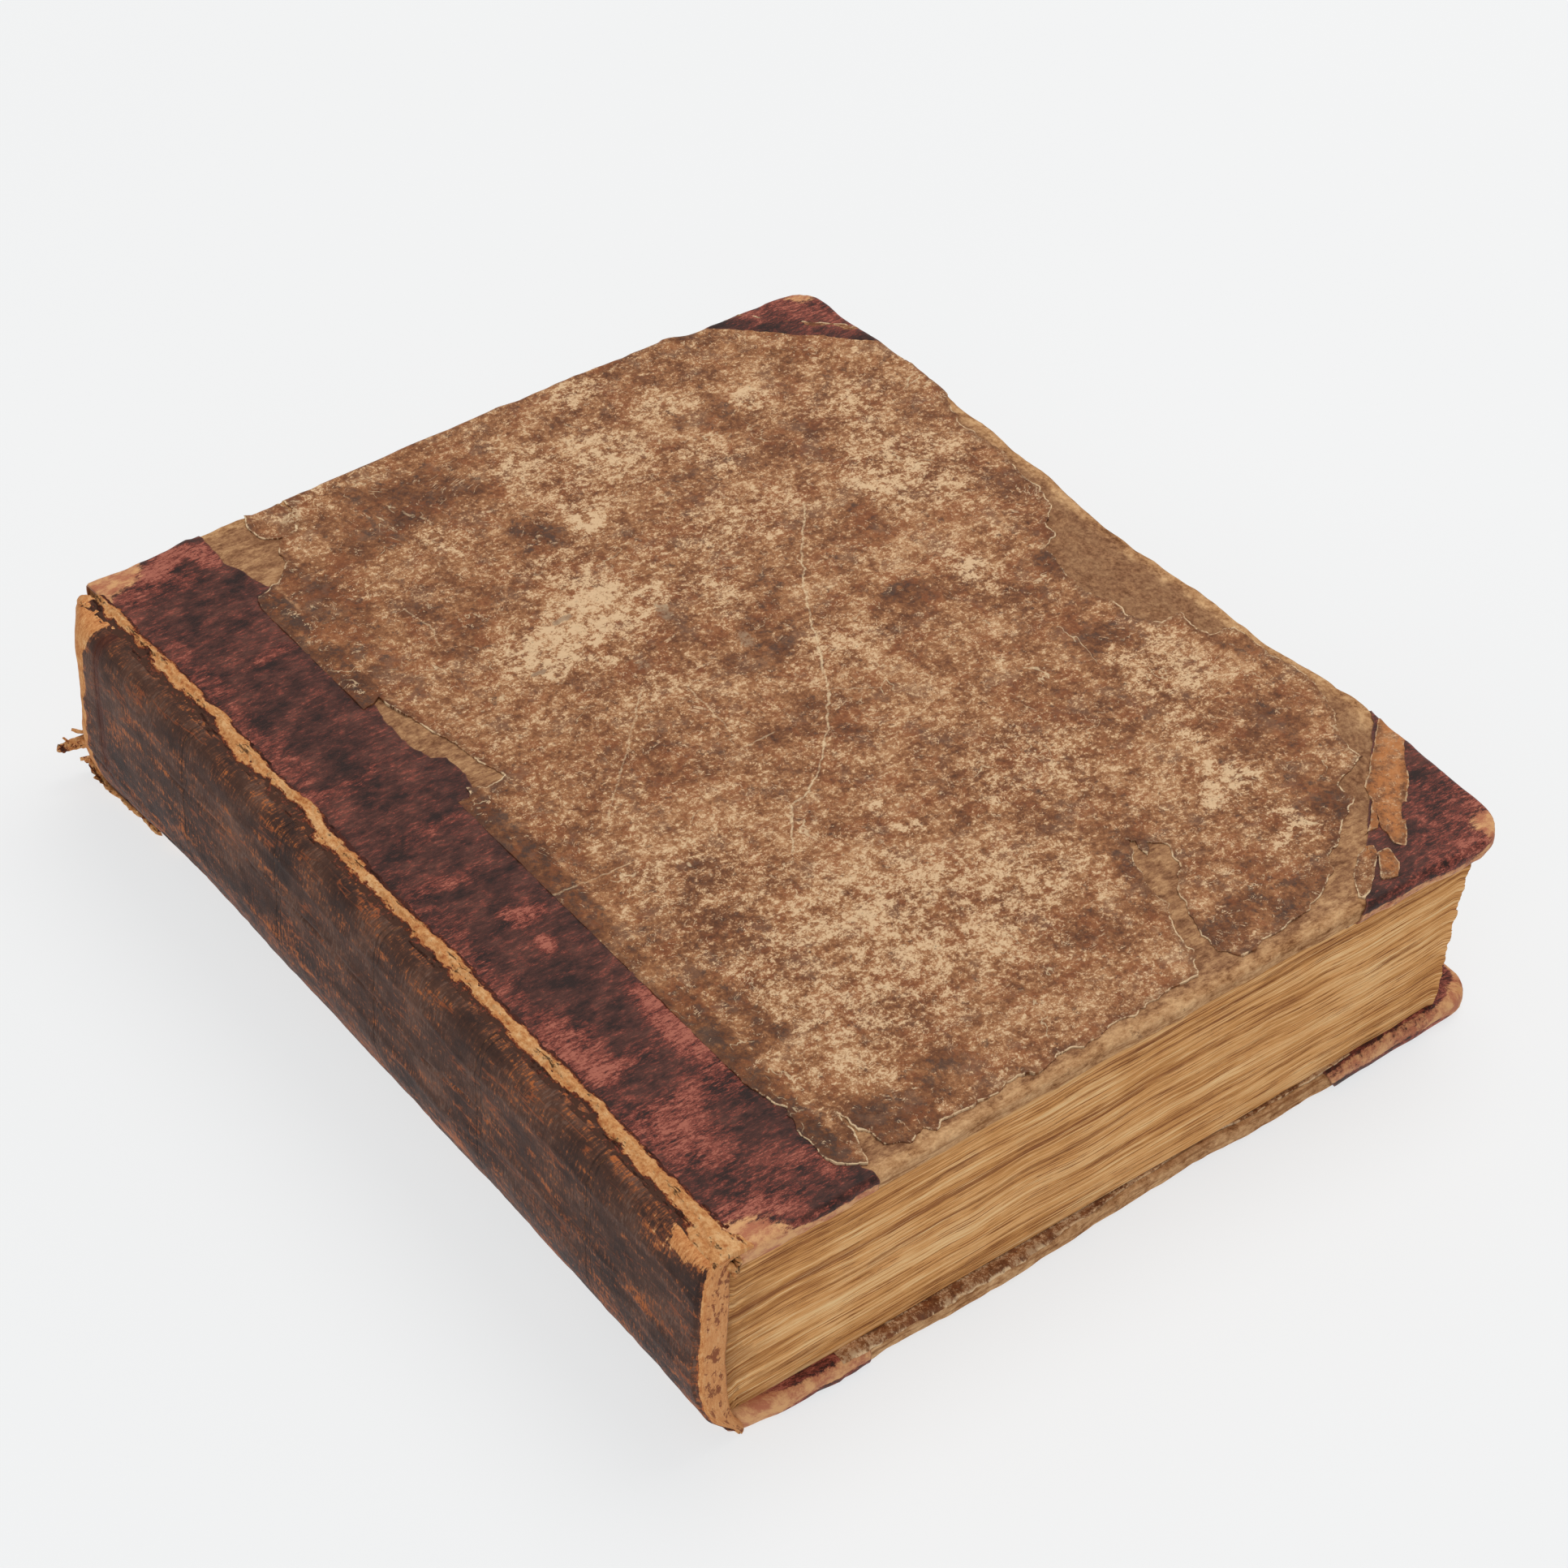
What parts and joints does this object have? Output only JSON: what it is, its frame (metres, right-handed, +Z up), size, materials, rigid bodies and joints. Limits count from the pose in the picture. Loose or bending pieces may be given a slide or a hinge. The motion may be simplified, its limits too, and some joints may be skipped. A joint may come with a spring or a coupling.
{
  "type": "hardback book",
  "caption": "Antique half-leather book lying closed on its rear cover, with a rounded spine, worn mottled boards and both covers hinged.",
  "frame": {"origin": "middle of the closed book's box, on the plane that the rear cover lies on", "axes": "+X from the spine towards the fore-edge, +Y from the tail to the head, +Z up from the rear cover to the front cover"},
  "size_m": [0.2376, 0.28, 0.0612],
  "materials": {
    "pages": "aged, uncut-looking page edges",
    "lining": "matte",
    "cord": "hemp cord",
    "spine_leather": "dark, scuffed, dry",
    "cover_leather": "dark maroon, straight grained, rubbed",
    "greyboard": "matte",
    "side_paper": "mottled, scuffed, slightly polished",
    "endpaper": "matte, foxed"
  },
  "bodies": {
    "book_block": {"text_block": "pages", "spine_lining": "lining", "sewing_cord_1": "cord", "sewing_cord_2": "cord", "sewing_cord_3": "cord", "sewing_cord_4": "cord", "spine_leather": "spine_leather"},
    "front_cover": {"front_board": "greyboard", "front_cord_slips": "cord", "front_leather_strip": "cover_leather", "front_head_corner": "cover_leather", "front_tail_corner": "cover_leather", "front_side_paper": "side_paper", "front_pastedown": "endpaper"},
    "rear_cover": {"rear_board": "greyboard", "rear_cord_slips": "cord", "rear_leather_strip": "cover_leather", "rear_head_corner": "cover_leather", "rear_tail_corner": "cover_leather", "rear_side_paper": "side_paper", "rear_pastedown": "endpaper"}
  },
  "joints": [
    {"name": "front_cover_hinge", "type": "hinge", "parent": "book_block", "child": "front_cover", "pos_m": [-0.10884, 0, 0.06], "axis": [0, -1, 0], "range_deg": [0, 180]},
    {"name": "rear_cover_hinge", "type": "hinge", "parent": "book_block", "child": "rear_cover", "pos_m": [-0.11134, 0, 0], "axis": [0, 1, 0], "range_deg": [0, 180]}
  ]
}
